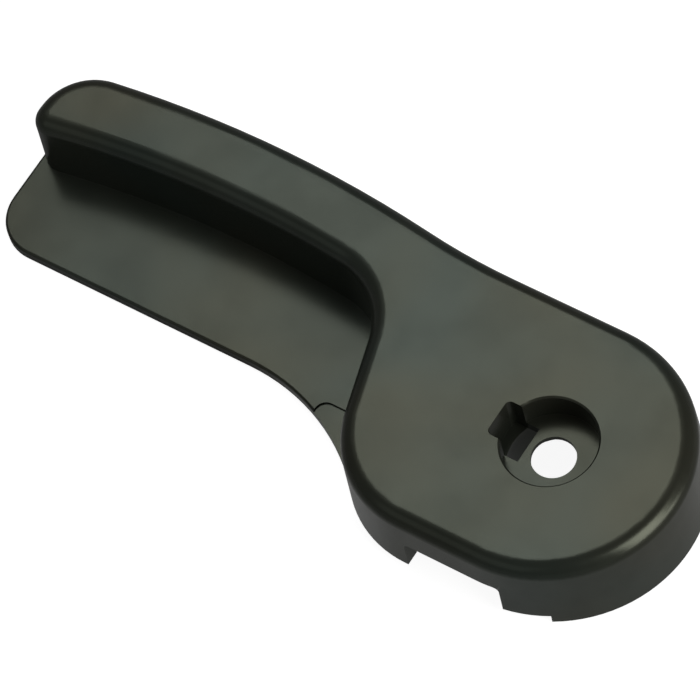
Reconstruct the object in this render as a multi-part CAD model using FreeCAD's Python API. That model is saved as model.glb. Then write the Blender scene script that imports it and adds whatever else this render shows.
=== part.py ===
import FreeCAD, Part
import math
import os

from FreeCAD import Vector

# Bonnet release lever, moulded in one piece. Millimetres.
# Origin: on the pivot's axis, at the seat of the screw's head. +Z points out of the smooth face,
# -X runs along the grip to its free end, and the fingers reach in from -Y.
# The lever is built with its rim at height 0, and is moved to its origin at the end.

# Overall form
FACE_HEIGHT = 15.8          # rim to smooth face
HEAD_RADIUS = 23.9          # round head, at the face
DRAFT_ANGLE = 1.9           # degrees, every outer and inner wall opens towards the rim
EDGE_ROUND = 3.0            # roll between the face and the walls
WALL = 2.6                  # skirt and grip walls
FACE_PLATE = 2.4            # thickness under the face

# Near side of the head: the lobe that runs up into the grip
LOBE_RADIUS = 19.5
LOBE_BACK = 14.8            # lobe centre, measured from the pivot towards the grip
FLANK_LEAN = 16.3           # degrees, the flank leans towards the grip
ROOT_RADIUS = 15.0          # inside curve between the flank and the grip bar

# Grip bar: a bar of even width on a long bowed line
BAR_WIDTH = 12.8
BAR_END = 111.4             # pivot axis to the free end, at the face
BOW_RADIUS = 227.5          # middle line of the bar
BOW_BACK = 71.5             # crown of the bow, measured from the pivot
BOW_CROWN = 3.4             # crown of the bar's far wall, beyond the head's straight far side
SWEEP_RADIUS = 129.4        # hollow sweep from the head's straight far side into the bow
TIP_FAR_RADIUS = 10.0
TIP_NEAR_INSIDE = 0.2       # what the wall and the edge round leave of the tip's near corner

# Finger floor
FLOOR_THICKNESS = 2.0
FLOOR_FRONT = 4.7           # front edge, measured from the pivot towards the near side
FLOOR_CORNER = 8.2          # round outer corner
FLOOR_SWEEP = 38.0          # hollow curve from the front edge into the skirt
FLOOR_EDGE_ROUND = 0.5      # along its free upper edge
STEP_DEPTH = 0.4            # the floor drops by this beside the flank
STEP_BACK = 43.5            # where the drop begins, measured from the pivot
STEP_FRONT = 5.1            # its far edge, measured from the pivot towards the near side
STEP_RADIUS = 2.0

# Pivot: counterbore for the screw's head, clip slot, through bore and spindle socket
COUNTERBORE_RADIUS = 8.1
COUNTERBORE_DEPTH = 5.4
WEB = 1.8                   # what is left between the counterbore and the socket
BORE_RADIUS = 3.8
BORE_LAND = 0.9             # straight part of the bore, below it the bore opens at 45 degrees
SLOT_REACH = 1.9            # clip slot, beyond the counterbore's wall towards the grip
SLOT_INNER = 4.8            # its inner end, measured from the pivot
SLOT_WIDTH = 6.8
SLOT_CORNER = 1.0
SOCKET_RADIUS = 8.1
SOCKET_FLATS = 14.0         # across the two flats that turn the spindle
BOSS_WALL = 2.4
BOSS_RECESS = 2.0           # boss foot above the rim
RIM_BREAK = 0.3             # broken edge round the counterbore

# Near side of the skirt: its lower edge stands clear of the base, and a notch clears the bracket's arm
RELIEF_HEIGHT = 1.8
RELIEF_RIGHT = 11.5         # where the edge comes down again, measured from the pivot
NOTCH_LEFT = 14.1           # measured from the pivot towards the grip
NOTCH_RIGHT = 3.9
NOTCH_HEIGHT = 8.3
NOTCH_CORNER = 1.0

# Ribs in the hollow underside
RIB = 1.6
HEAD_RIBS = 3               # one of them points along the grip
HEAD_RIB_RECESS = 4.0       # rib edge above the rim
BAR_RIBS = 3
BAR_RIB_RECESS = 2.5
BAR_RIB_START = 52.0        # first cross rib, measured from the pivot
BAR_RIB_PITCH = 18.5

OVERCUT = 1.0               # how far cutting tools run past the faces that they open
SAME_PLACE = 1e-4           # edges this close to a height or a point are taken as there


def draft_growth(height):
    """How far a wall has moved outwards after it has come down by this height."""
    return height * math.tan(math.radians(DRAFT_ANGLE))


def polar(centre, radius, degrees):
    angle = math.radians(degrees)
    return centre + Vector(radius * math.cos(angle), radius * math.sin(angle), 0)


def heading(centre, point):
    return math.degrees(math.atan2(point.y - centre.y, point.x - centre.x))


def arc(centre, radius, start, end):
    """Arc between two headings, the short way round."""
    turn = (end - start + 180.0) % 360.0 - 180.0
    return Part.Arc(polar(centre, radius, start), polar(centre, radius, start + turn / 2),
                    polar(centre, radius, start + turn)).toShape()


def line(start, end):
    return Part.LineSegment(start, end).toShape()


def at_height(shape, height):
    return shape.translated(Vector(0, 0, height))


def prism(wire, bottom, top):
    return at_height(Part.Face(wire), bottom).extrude(Vector(0, 0, top - bottom))


class Outline:
    """Centres and headings of the arcs that make the lever's outline at the face."""

    def __init__(self):
        self.bar_near = BOW_RADIUS - BAR_WIDTH / 2
        self.bar_far = BOW_RADIUS + BAR_WIDTH / 2
        self.head = Vector(0, 0, 0)
        self.lobe = Vector(-LOBE_BACK, LOBE_RADIUS - HEAD_RADIUS, 0)
        self.bow = Vector(-BOW_BACK, HEAD_RADIUS + BOW_CROWN - self.bar_far, 0)
        self.near_radius = max(WALL, EDGE_ROUND) + TIP_NEAR_INSIDE
        self.flank_heading = 180.0 + FLANK_LEAN
        self.flank_normal = polar(Vector(), 1.0, self.flank_heading)
        self.root = self.find_root()
        self.sweep = self.find_sweep()
        self.tip_near = self.find_tip_centre(self.bar_near + self.near_radius, self.near_radius)
        self.tip_far = self.find_tip_centre(self.bar_far - TIP_FAR_RADIUS, TIP_FAR_RADIUS)
        self.floor_sweep = self.find_floor_sweep()
        self.floor_join = polar(self.floor_sweep, FLOOR_SWEEP, heading(self.floor_sweep, self.lobe))

    def find_root(self):
        """Centre of the inside curve: beside the flank line and under the bar's near side."""
        reach = self.bar_near - ROOT_RADIUS
        from_lobe = LOBE_RADIUS + ROOT_RADIUS
        foot = self.lobe + self.flank_normal * from_lobe
        along = Vector(self.flank_normal.y, -self.flank_normal.x, 0)
        gap = foot - self.bow
        middle = gap.dot(along)
        return foot + along * (math.sqrt(middle ** 2 - gap.dot(gap) + reach ** 2) - middle)

    def find_sweep(self):
        """Centre of the hollow sweep: above the straight far side and outside the bow."""
        height = HEAD_RADIUS + SWEEP_RADIUS
        reach = self.bar_far + SWEEP_RADIUS
        rise = height - self.bow.y
        return Vector(self.bow.x + math.sqrt(reach ** 2 - rise ** 2), height, 0)

    def find_floor_sweep(self):
        """Centre of the floor's hollow curve: touches its front edge and the lobe at the rim."""
        reach = LOBE_RADIUS + draft_growth(FACE_HEIGHT) + FLOOR_SWEEP
        drop = self.lobe.y + FLOOR_FRONT + FLOOR_SWEEP
        return Vector(self.lobe.x - math.sqrt(reach ** 2 - drop ** 2), -FLOOR_FRONT - FLOOR_SWEEP, 0)

    def find_tip_centre(self, reach, radius):
        across = -BAR_END + radius
        run = across - self.bow.x
        return Vector(across, self.bow.y + math.sqrt(reach ** 2 - run ** 2), 0)

    def wire(self, grow, height):
        """Closed outline, moved outwards by grow, at this height."""
        near_to_root = heading(self.bow, self.root)
        near_to_tip = heading(self.bow, self.tip_near)
        far_to_tip = heading(self.bow, self.tip_far)
        far_to_sweep = heading(self.bow, self.sweep)
        head_top = polar(self.head, HEAD_RADIUS + grow, 90)
        head_right = polar(self.head, HEAD_RADIUS + grow, 0)
        head_bottom = polar(self.head, HEAD_RADIUS + grow, -90)
        lobe_start = polar(self.lobe, LOBE_RADIUS + grow, -90)
        lobe_end = polar(self.lobe, LOBE_RADIUS + grow, self.flank_heading)
        root_start = polar(self.root, ROOT_RADIUS - grow, self.flank_heading - 180)
        tip_near_end = polar(self.tip_near, self.near_radius + grow, 180)
        tip_far_start = polar(self.tip_far, TIP_FAR_RADIUS + grow, 180)
        sweep_end = polar(self.sweep, SWEEP_RADIUS - grow, -90)
        edges = [
            Part.Arc(head_top, head_right, head_bottom).toShape(),
            line(head_bottom, lobe_start),
            arc(self.lobe, LOBE_RADIUS + grow, -90, self.flank_heading),
            line(lobe_end, root_start),
            arc(self.root, ROOT_RADIUS - grow, self.flank_heading - 180, near_to_root),
            arc(self.bow, self.bar_near - grow, near_to_root, near_to_tip),
            arc(self.tip_near, self.near_radius + grow, near_to_tip - 180, 180),
            line(tip_near_end, tip_far_start),
            arc(self.tip_far, TIP_FAR_RADIUS + grow, 180, far_to_tip),
            arc(self.bow, self.bar_far + grow, far_to_tip, far_to_sweep),
            arc(self.sweep, SWEEP_RADIUS - grow, far_to_sweep - 180, -90),
            line(sweep_end, head_top),
        ]
        return at_height(Part.Wire(edges), height)


def drafted_solid(outline, grow, bottom, top):
    """Solid inside the outline whose walls open downwards by the draft angle."""
    low = outline.wire(grow + draft_growth(FACE_HEIGHT - bottom), bottom)
    high = outline.wire(grow + draft_growth(FACE_HEIGHT - top), top)
    return Part.makeLoft([low, high], True, True)


def edges_at(shape, height):
    """Edges that lie flat at this height."""
    found = []
    for edge in shape.Edges:
        box = edge.BoundBox
        if abs(box.ZMin - height) < SAME_PLACE and abs(box.ZMax - height) < SAME_PLACE:
            found.append(edge)
    return found


def body_shell(outline):
    """Head and grip bar as one drafted form with the rolled edge round the face."""
    block = drafted_solid(outline, 0.0, 0.0, FACE_HEIGHT)
    return block.makeFillet(EDGE_ROUND, edges_at(block, FACE_HEIGHT))


def floor_edges(outline):
    """Free edges of the finger floor, and closing edges that run inside the bar and the lobe."""
    end = -BAR_END - draft_growth(FACE_HEIGHT)
    sweep = outline.floor_sweep
    corner = Vector(end + FLOOR_CORNER, -FLOOR_FRONT + FLOOR_CORNER, 0)
    tip = Vector(end, outline.tip_far.y, 0)
    bar_mid_tip = polar(outline.bow, BOW_RADIUS, heading(outline.bow, outline.tip_far))
    bar_mid_root = polar(outline.bow, BOW_RADIUS, heading(outline.bow, outline.root))
    bar_mid_crown = polar(outline.bow, BOW_RADIUS, 90)
    free = [
        line(tip, polar(corner, FLOOR_CORNER, 180)),
        arc(corner, FLOOR_CORNER, 180, 270),
        line(polar(corner, FLOOR_CORNER, 270), polar(sweep, FLOOR_SWEEP, 90)),
        arc(sweep, FLOOR_SWEEP, 90, heading(sweep, outline.lobe)),
    ]
    closing = [
        line(outline.floor_join, outline.lobe),
        line(outline.lobe, bar_mid_root),
        Part.Arc(bar_mid_root, bar_mid_crown, bar_mid_tip).toShape(),
        line(bar_mid_tip, tip),
    ]
    return free, closing


def edges_above(solid, edges, height):
    """Edges of the solid that lie this far above the given ones."""
    middles = [edge.CenterOfMass + Vector(0, 0, height) for edge in edges]
    return [edge for edge in solid.Edges
            if any(edge.CenterOfMass.isEqual(middle, SAME_PLACE) for middle in middles)]


def finger_floor(outline):
    """Thin floor in front of the grip bar, with its drop beside the flank."""
    free, closing = floor_edges(outline)
    plate = prism(Part.Wire(free + closing), 0.0, FLOOR_THICKNESS)
    plate = plate.makeFillet(FLOOR_EDGE_ROUND, edges_above(plate, free, FLOOR_THICKNESS))
    front = -FLOOR_FRONT - FLOOR_SWEEP
    low_corner = Vector(-STEP_BACK + STEP_RADIUS, -STEP_FRONT - STEP_RADIUS, 0)
    edges = [
        line(Vector(-STEP_BACK, front, 0), polar(low_corner, STEP_RADIUS, 180)),
        arc(low_corner, STEP_RADIUS, 180, 90),
        line(polar(low_corner, STEP_RADIUS, 90), Vector(outline.lobe.x, -STEP_FRONT, 0)),
        line(Vector(outline.lobe.x, -STEP_FRONT, 0), Vector(outline.lobe.x, front, 0)),
        line(Vector(outline.lobe.x, front, 0), Vector(-STEP_BACK, front, 0)),
    ]
    step_floor = FLOOR_THICKNESS - STEP_DEPTH
    return plate.cut(prism(Part.Wire(edges), step_floor, FLOOR_THICKNESS + OVERCUT))


def clip_slot(grow, bottom, top):
    """Slot between the bore and the grip, widened by grow for the wall that holds it."""
    outer_end = COUNTERBORE_RADIUS + SLOT_REACH + grow
    inner_end = SLOT_INNER - grow
    side = SLOT_WIDTH / 2 + grow
    block = Part.makeBox(outer_end - inner_end, 2 * side, top - bottom,
                         Vector(-outer_end, -side, bottom))
    middle = -(outer_end + inner_end) / 2
    outer = [edge for edge in block.Edges
             if edge.BoundBox.ZLength > (top - bottom) / 2 and edge.BoundBox.XMax < middle]
    return block.makeFillet(SLOT_CORNER + grow, outer)


def pivot_boss():
    """Material round the counterbore, the clip slot and the spindle socket."""
    under_face = FACE_HEIGHT - FACE_PLATE
    slot_floor = FACE_HEIGHT - COUNTERBORE_DEPTH - WEB
    outer = max(COUNTERBORE_RADIUS, SOCKET_RADIUS) + BOSS_WALL
    boss = Part.makeCylinder(outer, under_face - BOSS_RECESS, Vector(0, 0, BOSS_RECESS))
    return boss.fuse(clip_slot(BOSS_WALL, slot_floor - WEB, under_face))


def head_ribs():
    """Radial ribs from the boss to the skirt."""
    reach = HEAD_RADIUS + LOBE_BACK
    height = FACE_HEIGHT - HEAD_RIB_RECESS
    rib = Part.makeBox(reach, RIB, height, Vector(0, -RIB / 2, HEAD_RIB_RECESS))
    turns = [180.0 + index * 360.0 / HEAD_RIBS for index in range(HEAD_RIBS)]
    return [rib.rotated(Vector(), Vector(0, 0, 1), turn) for turn in turns]


def bar_ribs(outline):
    """Cross ribs in the grip bar, square to its bowed middle line."""
    ribs = []
    height = FACE_HEIGHT - BAR_RIB_RECESS
    for index in range(BAR_RIBS):
        run = BOW_BACK - BAR_RIB_START - index * BAR_RIB_PITCH
        turn = math.degrees(math.asin(run / BOW_RADIUS))
        rib = Part.makeBox(RIB, BAR_WIDTH, height,
                           Vector(-RIB / 2, BOW_RADIUS - BAR_WIDTH / 2, BAR_RIB_RECESS))
        ribs.append(rib.rotated(Vector(), Vector(0, 0, 1), -turn).translated(outline.bow))
    return ribs


def underside_hollow(outline):
    """Space inside the skirt and the bar, less the boss and the ribs that stand in it."""
    space = drafted_solid(outline, -WALL, -OVERCUT, FACE_HEIGHT - FACE_PLATE)
    return space.cut([pivot_boss()] + head_ribs() + bar_ribs(outline))


def spindle_socket():
    """Round socket with two flats, open at the boss foot."""
    top = FACE_HEIGHT - COUNTERBORE_DEPTH - WEB
    height = top - BOSS_RECESS + OVERCUT
    bottom = BOSS_RECESS - OVERCUT
    socket = Part.makeCylinder(SOCKET_RADIUS, height, Vector(0, 0, bottom))
    flats = Part.makeBox(4 * SOCKET_RADIUS, SOCKET_FLATS, height,
                         Vector(-2 * SOCKET_RADIUS, -SOCKET_FLATS / 2, bottom))
    return socket.common(flats)


def through_bore(seat):
    """Hole through the web: a straight land at the seat, then a mouth that opens downwards."""
    land_end = seat - BORE_LAND
    opening = WEB - BORE_LAND + OVERCUT
    bore = Part.makeCylinder(BORE_RADIUS, BORE_LAND + OVERCUT, Vector(0, 0, land_end))
    mouth = Part.makeCone(BORE_RADIUS + opening, BORE_RADIUS, opening,
                          Vector(0, 0, land_end - opening))
    return bore.fuse(mouth)


def pivot_cuts():
    """Counterbore with a broken edge, clip slot through the web, through bore and socket."""
    top = FACE_HEIGHT + OVERCUT
    seat = FACE_HEIGHT - COUNTERBORE_DEPTH
    counterbore = Part.makeCylinder(COUNTERBORE_RADIUS, top - seat, Vector(0, 0, seat))
    rim = Part.makeCone(COUNTERBORE_RADIUS, COUNTERBORE_RADIUS + RIM_BREAK + OVERCUT,
                        RIM_BREAK + OVERCUT, Vector(0, 0, FACE_HEIGHT - RIM_BREAK))
    slot = clip_slot(0.0, seat - WEB, top)
    return counterbore.fuse([rim, through_bore(seat), slot, spindle_socket()])


def near_side_limit():
    """Plane that lies clear outside the near side of the skirt."""
    return -HEAD_RADIUS - draft_growth(FACE_HEIGHT) - OVERCUT


def rim_relief(outline):
    """Lifts the skirt's lower edge from the floor's end to the right of the notch."""
    outside = near_side_limit()
    left = outline.floor_join.x - OVERCUT
    return Part.makeBox(RELIEF_RIGHT - left, outline.floor_join.y - outside,
                        RELIEF_HEIGHT + OVERCUT, Vector(left, outside, -OVERCUT))


def skirt_notch():
    """Opening in the near side of the skirt, with rounded upper corners."""
    length = NOTCH_LEFT + NOTCH_RIGHT
    outside = near_side_limit()
    depth = OVERCUT + draft_growth(FACE_HEIGHT) + WALL + EDGE_ROUND
    block = Part.makeBox(length, depth, NOTCH_HEIGHT + OVERCUT,
                         Vector(-NOTCH_LEFT, outside, -OVERCUT))
    upper = [edge for edge in block.Edges
             if edge.BoundBox.YLength > depth / 2 and edge.BoundBox.ZMin > NOTCH_HEIGHT / 2]
    return block.makeFillet(NOTCH_CORNER, upper)


def make_handle():
    outline = Outline()
    solid = body_shell(outline).fuse(finger_floor(outline))
    solid = solid.cut(underside_hollow(outline))
    solid = solid.cut(pivot_cuts())
    solid = solid.cut([rim_relief(outline), skirt_notch()])
    seat_height = FACE_HEIGHT - COUNTERBORE_DEPTH
    return at_height(solid.removeSplitter(), -seat_height)


def write(name, shape):
    os.makedirs("parts", exist_ok=True)
    shape.exportStep(os.path.join("parts", name + ".step"))


write("handle", make_handle())
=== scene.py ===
import math

import bmesh
import bpy
from bpy.props import FloatProperty, FloatVectorProperty, IntProperty, PointerProperty
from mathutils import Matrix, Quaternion, Vector


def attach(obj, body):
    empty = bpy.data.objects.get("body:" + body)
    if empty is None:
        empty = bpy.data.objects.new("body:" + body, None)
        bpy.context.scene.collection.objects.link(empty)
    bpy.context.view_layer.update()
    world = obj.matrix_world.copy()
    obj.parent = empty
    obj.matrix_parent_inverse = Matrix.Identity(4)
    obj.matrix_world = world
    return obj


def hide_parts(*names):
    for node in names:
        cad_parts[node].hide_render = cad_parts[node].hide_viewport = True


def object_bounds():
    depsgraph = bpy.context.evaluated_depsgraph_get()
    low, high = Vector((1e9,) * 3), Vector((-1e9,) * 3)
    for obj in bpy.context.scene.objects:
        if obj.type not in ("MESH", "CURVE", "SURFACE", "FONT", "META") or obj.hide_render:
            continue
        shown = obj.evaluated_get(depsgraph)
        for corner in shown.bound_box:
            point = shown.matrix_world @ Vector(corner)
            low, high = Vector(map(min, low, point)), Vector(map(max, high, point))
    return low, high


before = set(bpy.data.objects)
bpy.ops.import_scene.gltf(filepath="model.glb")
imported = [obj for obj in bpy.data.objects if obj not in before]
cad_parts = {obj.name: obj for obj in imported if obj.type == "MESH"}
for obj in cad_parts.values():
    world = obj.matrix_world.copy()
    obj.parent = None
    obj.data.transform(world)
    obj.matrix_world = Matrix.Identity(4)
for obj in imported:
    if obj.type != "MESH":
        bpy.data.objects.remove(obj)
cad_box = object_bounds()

bl_info = {
    "name": "Hood Release Lever",
    "version": (1, 0, 0),
    "blender": (4, 5, 0),
    "location": "View3D > Sidebar > Lever",
    "description": "Finishes a moulded bonnet release lever and sets a studio round it",
    "category": "Object",
}

BODY = "root"
LEVER_NODE = "handle"
RUB_LAYER = "rubbed"

# Shape, in metres and degrees
SAME_POINT = 1e-6           # corners this close are one
FLAT_ANGLE = 0.4            # faces that turn less than this are one flat
SHARP_ANGLE = 32            # edges that turn more than this are broken
FLAT_WEIGHT = 80            # how strongly the flats hold the shading beside the broken edges

# Skin
CLOUD_SIZE = 0.010
ROUGHNESS_DRIFT = 0.02
MIDDLE_GLOSS = 0.5          # specular level that the cloudiness swings round
RUB_AMOUNT = 0.55
RUB_PATCH = 0.006
RUB_ROUGHNESS = 0.12        # how much duller a rubbed edge is
GRAIN_DEPTH = 0.00004
WARM_TINT = (1.18, 1.04, 0.92)
COOL_TINT = (0.86, 1.0, 1.0)

# Table, and the painted glow halo round the middle of the head that only the lever's reflections see
TABLE_HALF = 4.0
TABLE_GAP = 0.0003          # below the rim, so that the two planes never meet
LENS_WHITE = 0.92           # brightness of the paper to the lens
HEAD_MIDDLE = (-0.010, -0.003, 0.0)
PAINTED_GLOW_RISE = (0.012, 0.022)  # the painted glow grows to its full strength between these distances
PAINTED_GLOW_UNDER_HEAD = 0.6           # what is left of the painted glow under the head
PAINTED_GLOW_FADES = (0.038, 0.054)  # and the painted glow fades out between these

# Lights: setting with the power, azimuth and elevation in degrees, width and height, roll in degrees
SOFTBOX_DISTANCE = 1.8
SOFTBOXES = (
    ("overhead softbox", "overhead_power", 136, 61, (0.5, 1.05), -27),
    ("overhead diffuser", "diffuser_power", 136, 61, (2.0, 1.65), 0),
    ("side softbox", "side_power", 0, 32, (1.0, 1.1), 0),
    ("low strip", "strip_power", 4, 8, (1.35, 0.45), 0),
    ("front fill", "front_power", 255, 33, (1.6, 0.9), 0),
)


# Settings that a user would change

class LeverPlasticSettings(bpy.types.PropertyGroup):
    base_colour: FloatVectorProperty(
        name="Plastic colour", description="Colour of the moulded plastic",
        subtype="COLOR", size=3, min=0.0, max=1.0, default=(0.0170, 0.0190, 0.0155))
    worn_colour: FloatVectorProperty(
        name="Rubbed colour", description="Colour where hands and trim have rubbed the sharp edges",
        subtype="COLOR", size=3, min=0.0, max=1.0, default=(0.034, 0.035, 0.031))
    warm_sheen: FloatVectorProperty(
        name="Warm sheen", description="Tint of the sheen where the skin is warmer",
        subtype="COLOR", size=3, min=0.0, max=1.0, default=(0.97, 1.0, 0.75))
    cool_sheen: FloatVectorProperty(
        name="Cool sheen", description="Tint of the sheen where the skin is cooler",
        subtype="COLOR", size=3, min=0.0, max=1.0, default=(0.86, 1.0, 0.85))
    cloudiness: FloatProperty(
        name="Cloudiness", description="How far the sheen rises and falls across the skin",
        subtype="FACTOR", min=0.0, max=0.4, default=0.08)
    roughness: FloatProperty(
        name="Roughness", description="Roughness of the satin skin",
        subtype="FACTOR", min=0.05, max=1.0, default=0.25)
    grain_size: FloatProperty(
        name="Grain size", description="Size of one grain of the moulded texture",
        subtype="DISTANCE", unit="LENGTH", min=0.0001, max=0.003, default=0.0003)
    grain_strength: FloatProperty(
        name="Grain strength", description="Strength of the moulded texture's relief",
        subtype="FACTOR", min=0.0, max=1.0, default=0.12)
    edge_break: FloatProperty(
        name="Edge break", description="Round on the edges that the mould leaves nearly sharp",
        subtype="DISTANCE", unit="LENGTH", min=0.00002, max=0.0006, default=0.00015)
    edge_segments: IntProperty(
        name="Edge segments", description="Steps across each broken edge",
        min=1, max=6, default=2)


class LeverStageSettings(bpy.types.PropertyGroup):
    camera_place: FloatVectorProperty(
        name="Camera place", description="Where the camera stands",
        subtype="TRANSLATION", unit="LENGTH", size=3, default=(0.381826, -0.377034, 0.928318))
    camera_turn: FloatVectorProperty(
        name="Camera turn", description="How the camera is turned",
        subtype="EULER", unit="ROTATION", size=3,
        default=tuple(math.radians(angle) for angle in (30.17695, 9.19118, 32.77193)))
    camera_lens: FloatProperty(
        name="Focal length", description="Focal length for a 36 mm frame",
        subtype="DISTANCE_CAMERA", unit="CAMERA", min=20.0, max=800.0, default=342.004)
    table_colour: FloatVectorProperty(
        name="Table colour", description="Colour of the table",
        subtype="COLOR", size=3, min=0.0, max=1.0, default=(0.35, 0.35, 0.35))
    # Painted glow: the paper emits this light itself, beside the round head and only into the lever's
    # reflections; it is no lamp, and it brightens the skirt and rolled edge
    painted_glow: FloatProperty(
        name="Close glow", description="Light that the paper sends up right beside the round head",
        min=0.0, max=2.0, default=0.18)
    overhead_power: FloatProperty(
        name="Overhead softbox", description="Power of the softbox above and behind the lever",
        subtype="POWER", unit="POWER", min=0.0, max=500.0, default=4.45)
    diffuser_power: FloatProperty(
        name="Overhead diffuser", description="Power of the wide dim sheet round the overhead softbox",
        subtype="POWER", unit="POWER", min=0.0, max=500.0, default=2.2)
    side_power: FloatProperty(
        name="Side softbox", description="Power of the softbox beside the round head",
        subtype="POWER", unit="POWER", min=0.0, max=500.0, default=15.4)
    strip_power: FloatProperty(
        name="Low strip", description="Power of the strip light that stands on the table beside the head",
        subtype="POWER", unit="POWER", min=0.0, max=500.0, default=7.0)
    front_power: FloatProperty(
        name="Front fill", description="Power of the dim fill on the finger side",
        subtype="POWER", unit="POWER", min=0.0, max=500.0, default=0.9)
    room_light: FloatProperty(
        name="Room light", description="Brightness of the dim room round the table",
        min=0.0, max=5.0, default=0.13)


# Small builders

def new_material(name):
    """Empty node material and its node tree."""
    material = bpy.data.materials.new(name)
    material.use_nodes = True
    material.node_tree.nodes.clear()
    return material, material.node_tree


def add_node(tree, kind, place, **values):
    """Node of this kind at a place on the sheet, with its own settings."""
    node = tree.nodes.new(kind)
    node.location = place
    for key, value in values.items():
        setattr(node, key, value)
    return node


def set_inputs(node, **values):
    """Sets inputs by name, with underscores for the spaces."""
    for key, value in values.items():
        node.inputs[key.replace("_", " ")].default_value = value


def new_group(name, inputs, outputs):
    """Shader node group with named sockets; returns the tree and its two end nodes."""
    group = bpy.data.node_groups.new(name, "ShaderNodeTree")
    for socket_name, socket_type, value in inputs:
        socket = group.interface.new_socket(socket_name, in_out="INPUT", socket_type=socket_type)
        if value is not None:
            socket.default_value = value
    for socket_name, socket_type in outputs:
        group.interface.new_socket(socket_name, in_out="OUTPUT", socket_type=socket_type)
    start = add_node(group, "NodeGroupInput", (-900, 0))
    end = add_node(group, "NodeGroupOutput", (700, 0))
    return group, start, end


def add_math(tree, operation, place, first, second):
    """Math node whose inputs are links or numbers."""
    node = add_node(tree, "ShaderNodeMath", place, operation=operation)
    for socket, value in zip(node.inputs, (first, second)):
        if isinstance(value, (int, float)):
            socket.default_value = value
        else:
            tree.links.new(value, socket)
    return node.outputs["Value"]


def add_range(tree, place, value, low, high):
    """Spreads the middle of a noise between two values."""
    node = add_node(tree, "ShaderNodeMapRange", place, interpolation_type="SMOOTHSTEP")
    set_inputs(node, From_Min=0.3, From_Max=0.7, To_Min=low, To_Max=high)
    tree.links.new(value, node.inputs["Value"])
    return node.outputs["Result"]


def add_ramp(tree, place, value, low_colour, high_colour):
    """Drifts between two colours across the middle of a noise."""
    node = add_node(tree, "ShaderNodeValToRGB", place)
    low, high = node.color_ramp.elements
    low.position, high.position = 0.32, 0.68
    low.color = (*low_colour, 1.0)
    high.color = (*high_colour, 1.0)
    tree.links.new(value, node.inputs["Fac"])
    return node.outputs["Color"]


# Shader effects, built once

def moulded_skin_group():
    """Fine grain left by the mould, and the slow cloudiness of the satin over it."""
    group, start, end = new_group(
        "Moulded Skin",
        [("Vector", "NodeSocketVector", None), ("Grain Size", "NodeSocketFloat", 0.0003),
         ("Cloud Size", "NodeSocketFloat", 0.012)],
        [("Grain", "NodeSocketFloat"), ("Cloud", "NodeSocketFloat"), ("Smear", "NodeSocketFloat")])
    link = group.links.new
    grain_scale = add_math(group, "DIVIDE", (-700, 200), 1.0, start.outputs["Grain Size"])
    grain = add_node(group, "ShaderNodeTexNoise", (-450, 250))
    set_inputs(grain, Detail=2.0, Roughness=0.55)
    link(start.outputs["Vector"], grain.inputs["Vector"])
    link(grain_scale, grain.inputs["Scale"])
    cloud_scale = add_math(group, "DIVIDE", (-700, -50), 1.0, start.outputs["Cloud Size"])
    cloud = add_node(group, "ShaderNodeTexNoise", (-450, -50))
    set_inputs(cloud, Detail=4.0, Roughness=0.55, Distortion=0.2)
    link(start.outputs["Vector"], cloud.inputs["Vector"])
    link(cloud_scale, cloud.inputs["Scale"])
    smear_scale = add_math(group, "MULTIPLY", (-700, -300), cloud_scale, 0.28)
    smear = add_node(group, "ShaderNodeTexNoise", (-450, -350))
    set_inputs(smear, Detail=1.0, Distortion=0.5)
    link(start.outputs["Vector"], smear.inputs["Vector"])
    link(smear_scale, smear.inputs["Scale"])
    link(grain.outputs["Fac"], end.inputs["Grain"])
    link(cloud.outputs["Fac"], end.inputs["Cloud"])
    link(smear.outputs["Fac"], end.inputs["Smear"])
    return group


def rubbed_edge_group():
    """Broken-up mask that shows only on the edges marked as rubbed."""
    group, start, end = new_group(
        "Rubbed Edges",
        [("Vector", "NodeSocketVector", None), ("Marked", "NodeSocketFloat", 0.0),
         ("Amount", "NodeSocketFloat", 0.5), ("Patch Size", "NodeSocketFloat", 0.006)],
        [("Mask", "NodeSocketFloat")])
    link = group.links.new
    scale = add_math(group, "DIVIDE", (-700, 100), 1.0, start.outputs["Patch Size"])
    patches = add_node(group, "ShaderNodeTexNoise", (-450, 100))
    set_inputs(patches, Detail=4.0, Roughness=0.65)
    link(start.outputs["Vector"], patches.inputs["Vector"])
    link(scale, patches.inputs["Scale"])
    spread = add_node(group, "ShaderNodeMapRange", (-200, 100), interpolation_type="SMOOTHSTEP")
    set_inputs(spread, From_Min=0.38, From_Max=0.68)
    link(patches.outputs["Fac"], spread.inputs["Value"])
    marked = add_math(group, "MULTIPLY", (50, 50), spread.outputs["Result"], start.outputs["Marked"])
    link(add_math(group, "MULTIPLY", (300, 0), marked, start.outputs["Amount"]), end.inputs["Mask"])
    return group


# Materials

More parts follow.
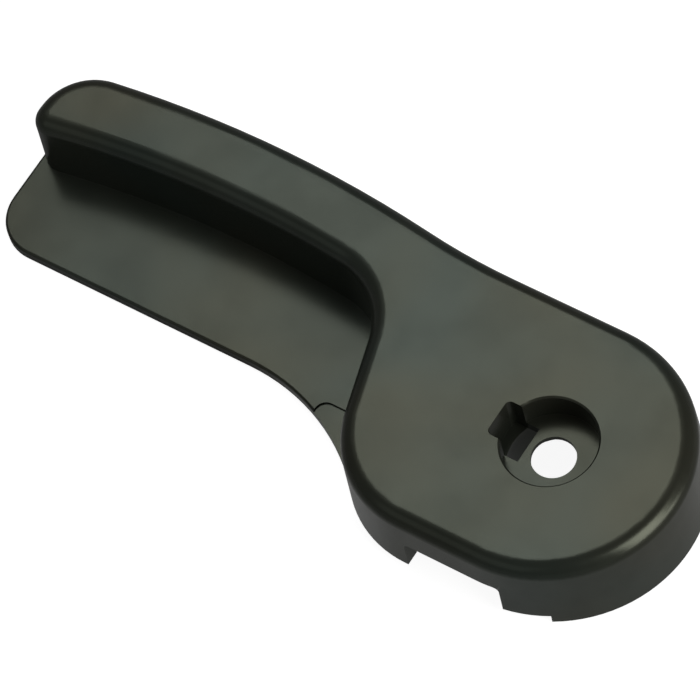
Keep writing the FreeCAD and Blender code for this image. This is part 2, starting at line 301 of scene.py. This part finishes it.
def satin_plastic(settings):
    """Black-grey moulded plastic with a satin skin."""
    material, tree = new_material("satin black-grey plastic")
    link = tree.links.new
    place = add_node(tree, "ShaderNodeTexCoord", (-1300, 0))
    skin = add_node(tree, "ShaderNodeGroup", (-1050, 150), node_tree=moulded_skin_group())
    set_inputs(skin, Grain_Size=settings.grain_size, Cloud_Size=CLOUD_SIZE)
    link(place.outputs["Object"], skin.inputs["Vector"])
    marks = add_node(tree, "ShaderNodeAttribute", (-1300, -350), attribute_name=RUB_LAYER)
    rubbed = add_node(tree, "ShaderNodeGroup", (-1050, -250), node_tree=rubbed_edge_group())
    set_inputs(rubbed, Amount=RUB_AMOUNT, Patch_Size=RUB_PATCH)
    link(place.outputs["Object"], rubbed.inputs["Vector"])
    link(marks.outputs["Fac"], rubbed.inputs["Marked"])

    warm = [part * share for part, share in zip(settings.base_colour, WARM_TINT)]
    cool = [part * share for part, share in zip(settings.base_colour, COOL_TINT)]
    tint = add_ramp(tree, (-750, 500), skin.outputs["Smear"], warm, cool)
    sheen = add_ramp(tree, (-750, 250), skin.outputs["Smear"],
                     settings.warm_sheen, settings.cool_sheen)
    colour = add_node(tree, "ShaderNodeMix", (-400, 350), data_type="RGBA")
    link(rubbed.outputs["Mask"], colour.inputs["Factor"])
    link(tint, colour.inputs["A"])
    colour.inputs["B"].default_value = (*settings.worn_colour, 1.0)

    cloudy = add_range(tree, (-750, 0), skin.outputs["Cloud"],
                       settings.roughness - ROUGHNESS_DRIFT, settings.roughness + ROUGHNESS_DRIFT)
    dulled = add_math(tree, "MULTIPLY", (-600, -200), rubbed.outputs["Mask"], RUB_ROUGHNESS)
    roughness = add_math(tree, "ADD", (-400, -50), cloudy, dulled)
    gloss = add_range(tree, (-400, 100), skin.outputs["Cloud"],
                      MIDDLE_GLOSS - settings.cloudiness, MIDDLE_GLOSS + settings.cloudiness)

    relief = add_node(tree, "ShaderNodeBump", (-400, -300))
    set_inputs(relief, Strength=settings.grain_strength, Distance=GRAIN_DEPTH)
    link(skin.outputs["Grain"], relief.inputs["Height"])

    shader = add_node(tree, "ShaderNodeBsdfPrincipled", (-50, 100))
    set_inputs(shader, Metallic=0.0, IOR=1.5)
    link(sheen, shader.inputs["Specular Tint"])
    link(gloss, shader.inputs["Specular IOR Level"])
    link(colour.outputs["Result"], shader.inputs["Base Color"])
    link(roughness, shader.inputs["Roughness"])
    link(relief.outputs["Normal"], shader.inputs["Normal"])
    end = add_node(tree, "ShaderNodeOutputMaterial", (300, 100))
    link(shader.outputs["BSDF"], end.inputs["Surface"])
    return material


def table_paper(settings):
    """White paper to the lens; darker in the lever's reflections, with a faint painted glow beside the
    head that only the reflections see and that lights the skirt and rolled edge.
    """
    material, tree = new_material("table paper")
    link = tree.links.new
    place = add_node(tree, "ShaderNodeTexCoord", (-1350, -50))
    reach = add_node(tree, "ShaderNodeVectorMath", (-1150, -50), operation="DISTANCE")
    reach.inputs[1].default_value = HEAD_MIDDLE
    link(place.outputs["Object"], reach.inputs[0])
    painted_glow_growth = add_node(tree, "ShaderNodeMapRange", (-950, 100), interpolation_type="SMOOTHSTEP")
    set_inputs(painted_glow_growth, From_Min=PAINTED_GLOW_RISE[0], From_Max=PAINTED_GLOW_RISE[1], To_Min=PAINTED_GLOW_UNDER_HEAD)
    close = add_node(tree, "ShaderNodeMapRange", (-950, -200), interpolation_type="SMOOTHSTEP")
    set_inputs(close, From_Min=PAINTED_GLOW_FADES[0], From_Max=PAINTED_GLOW_FADES[1],
               To_Min=settings.painted_glow, To_Max=0.0)
    link(reach.outputs["Value"], painted_glow_growth.inputs["Value"])
    link(reach.outputs["Value"], close.inputs["Value"])
    # Painted glow halo: emission round the head, weaker under it, that stands in for light on the skirt
    # and rolled edge
    painted_glow_ring = add_math(tree, "MULTIPLY", (-650, -50),
                    painted_glow_growth.outputs["Result"], close.outputs["Result"])
    # Camera rays get the even lens white; all other rays get only the painted glow
    rays = add_node(tree, "ShaderNodeLightPath", (-600, 300))
    glow = add_node(tree, "ShaderNodeMix", (-350, 100), data_type="FLOAT")
    link(rays.outputs["Is Camera Ray"], glow.inputs["Factor"])
    link(painted_glow_ring, glow.inputs["A"])
    set_inputs(glow, B=LENS_WHITE)
    shader = add_node(tree, "ShaderNodeBsdfPrincipled", (-50, 100))
    set_inputs(shader, Base_Color=(*settings.table_colour, 1.0), Roughness=0.9, IOR=1.3,
               Emission_Color=(1.0, 1.0, 1.0, 1.0))
    link(glow.outputs["Result"], shader.inputs["Emission Strength"])
    end = add_node(tree, "ShaderNodeOutputMaterial", (300, 100))
    link(shader.outputs["BSDF"], end.inputs["Surface"])
    return material


# Shapes

def finished_lever(node, settings):
    """The lever's solid with its flats rejoined and its sharp edges broken."""
    bm = bmesh.new()
    bm.from_mesh(node.data)
    bmesh.ops.remove_doubles(bm, verts=bm.verts, dist=SAME_POINT)
    bmesh.ops.recalc_face_normals(bm, faces=bm.faces)
    bmesh.ops.dissolve_limit(bm, angle_limit=math.radians(FLAT_ANGLE), use_dissolve_boundaries=False,
                             verts=bm.verts, edges=bm.edges)
    rubbed = bm.loops.layers.float.new(RUB_LAYER)
    sharp = [edge for edge in bm.edges
             if edge.is_manifold and edge.calc_face_angle() > math.radians(SHARP_ANGLE)]
    broken = bmesh.ops.bevel(bm, geom=sharp, offset=settings.edge_break, offset_type="OFFSET",
                             segments=settings.edge_segments, profile=0.5, affect="EDGES",
                             clamp_overlap=True, material=-1)
    for face in broken["faces"]:
        for corner in face.loops:
            corner[rubbed] = 1.0
    for face in bm.faces:
        face.smooth = True
    mesh = bpy.data.meshes.new("lever_moulding")
    bm.to_mesh(mesh)
    bm.free()
    piece = bpy.data.objects.new("lever_moulding", mesh)
    bpy.context.scene.collection.objects.link(piece)
    flats = piece.modifiers.new("Even flats", "WEIGHTED_NORMAL")
    flats.mode = "FACE_AREA"
    flats.weight = FLAT_WEIGHT
    return piece


def add_softbox(name, power, azimuth, elevation, size, roll):
    """Rectangular softbox that faces the lever from this direction; angles in degrees."""
    data = bpy.data.lights.new(name, "AREA")
    data.shape = "RECTANGLE"
    data.size, data.size_y = size
    data.energy = power
    softbox = bpy.data.objects.new(name, data)
    level = math.cos(math.radians(elevation))
    toward = Vector((level * math.cos(math.radians(azimuth)),
                     level * math.sin(math.radians(azimuth)),
                     math.sin(math.radians(elevation))))
    softbox.location = toward * SOFTBOX_DISTANCE
    facing = toward.to_track_quat("Z", "Y") @ Quaternion((0.0, 0.0, 1.0), math.radians(roll))
    softbox.rotation_euler = facing.to_euler()
    softbox.visible_camera = False
    bpy.context.scene.collection.objects.link(softbox)


# Operators

class LEVER_OT_moulding(bpy.types.Operator):
    """Finish the moulded lever: broken edges and satin plastic"""
    bl_idname = "lever.moulding"
    bl_label = "Moulded lever"

    def execute(self, context):
        if LEVER_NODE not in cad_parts:
            raise RuntimeError("the packed model has no node for the lever")
        settings = context.scene.lever_plastic
        piece = finished_lever(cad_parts[LEVER_NODE], settings)
        piece.data.materials.append(satin_plastic(settings))
        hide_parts(LEVER_NODE)
        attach(piece, BODY)
        return {"FINISHED"}


class LEVER_OT_stage(bpy.types.Operator):
    """Set the table, the softboxes and the camera"""
    bl_idname = "lever.stage"
    bl_label = "Table, light and camera"

    def execute(self, context):
        scene = context.scene
        settings = scene.lever_stage
        low_corner = cad_box[0]
        bm = bmesh.new()
        bmesh.ops.create_grid(bm, x_segments=1, y_segments=1, size=TABLE_HALF)
        bmesh.ops.translate(bm, verts=bm.verts, vec=(0.0, 0.0, low_corner[2] - TABLE_GAP))
        mesh = bpy.data.meshes.new("table")
        bm.to_mesh(mesh)
        bm.free()
        table = bpy.data.objects.new("table", mesh)
        scene.collection.objects.link(table)
        mesh.materials.append(table_paper(settings))

        for name, power, azimuth, elevation, size, roll in SOFTBOXES:
            add_softbox(name, getattr(settings, power), azimuth, elevation, size, roll)

        world = bpy.data.worlds.new("dim room")
        world.use_nodes = True
        set_inputs(world.node_tree.nodes["Background"],
                   Strength=settings.room_light, Color=(1.0, 1.0, 1.0, 1.0))
        scene.world = world

        data = bpy.data.cameras.new("camera")
        data.sensor_width = 36.0
        data.lens = settings.camera_lens
        data.clip_start, data.clip_end = 0.05, 20.0
        camera = bpy.data.objects.new("camera", data)
        camera.location = settings.camera_place
        camera.rotation_euler = settings.camera_turn
        scene.collection.objects.link(camera)
        scene.camera = camera
        scene.view_settings.view_transform = "Standard"
        return {"FINISHED"}


class LEVER_PT_panel(bpy.types.Panel):
    """Sidebar panel that lists the lever's operators and settings"""
    bl_label = "Hood release lever"
    bl_idname = "LEVER_PT_panel"
    bl_space_type = "VIEW_3D"
    bl_region_type = "UI"
    bl_category = "Lever"

    def draw(self, context):
        layout = self.layout
        for operator, group in (("lever.moulding", context.scene.lever_plastic),
                                ("lever.stage", context.scene.lever_stage)):
            layout.operator(operator)
            for name in group.__annotations__:
                layout.prop(group, name)


CLASSES = (LeverPlasticSettings, LeverStageSettings, LEVER_OT_moulding, LEVER_OT_stage, LEVER_PT_panel)


def register():
    for item in CLASSES:
        bpy.utils.register_class(item)
    bpy.types.Scene.lever_plastic = PointerProperty(type=LeverPlasticSettings)
    bpy.types.Scene.lever_stage = PointerProperty(type=LeverStageSettings)


def unregister():
    del bpy.types.Scene.lever_stage
    del bpy.types.Scene.lever_plastic
    for item in reversed(CLASSES):
        bpy.utils.unregister_class(item)


def main():
    register()
    bpy.ops.lever.stage()
    bpy.ops.lever.moulding()
    bpy.context.view_layer.update()


if __name__ == "__main__":
    main()
